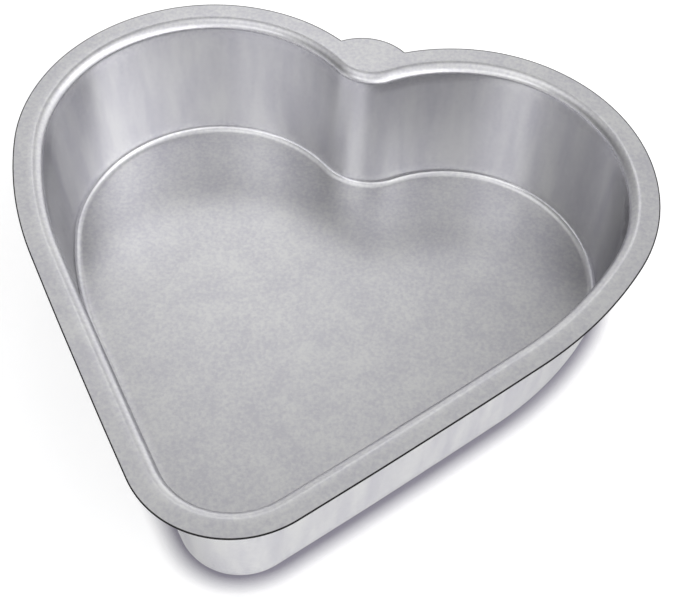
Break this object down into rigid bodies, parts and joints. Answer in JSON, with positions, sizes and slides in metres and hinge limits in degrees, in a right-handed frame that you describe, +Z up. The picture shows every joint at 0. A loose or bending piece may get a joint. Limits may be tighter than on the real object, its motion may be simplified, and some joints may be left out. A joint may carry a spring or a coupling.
{
  "type": "heart cake pan",
  "caption": "Heart-shaped cake pan drawn from one sheet, with leaning walls, a flat rim and a rounded tab in the cleft.",
  "frame": {"origin": "on the table under the middle of the rim's width and length", "axes": "+Z up out of the pan's mouth, -Y towards the heart's tip, +Y towards the cleft and its tab, +X to the right lobe seen from the tip"},
  "size_m": [0.21, 0.2014, 0.05],
  "materials": {
    "tinned_sheet": "satin"
  },
  "bodies": {
    "root": {"pan": "tinned_sheet"}
  },
  "joints": []
}
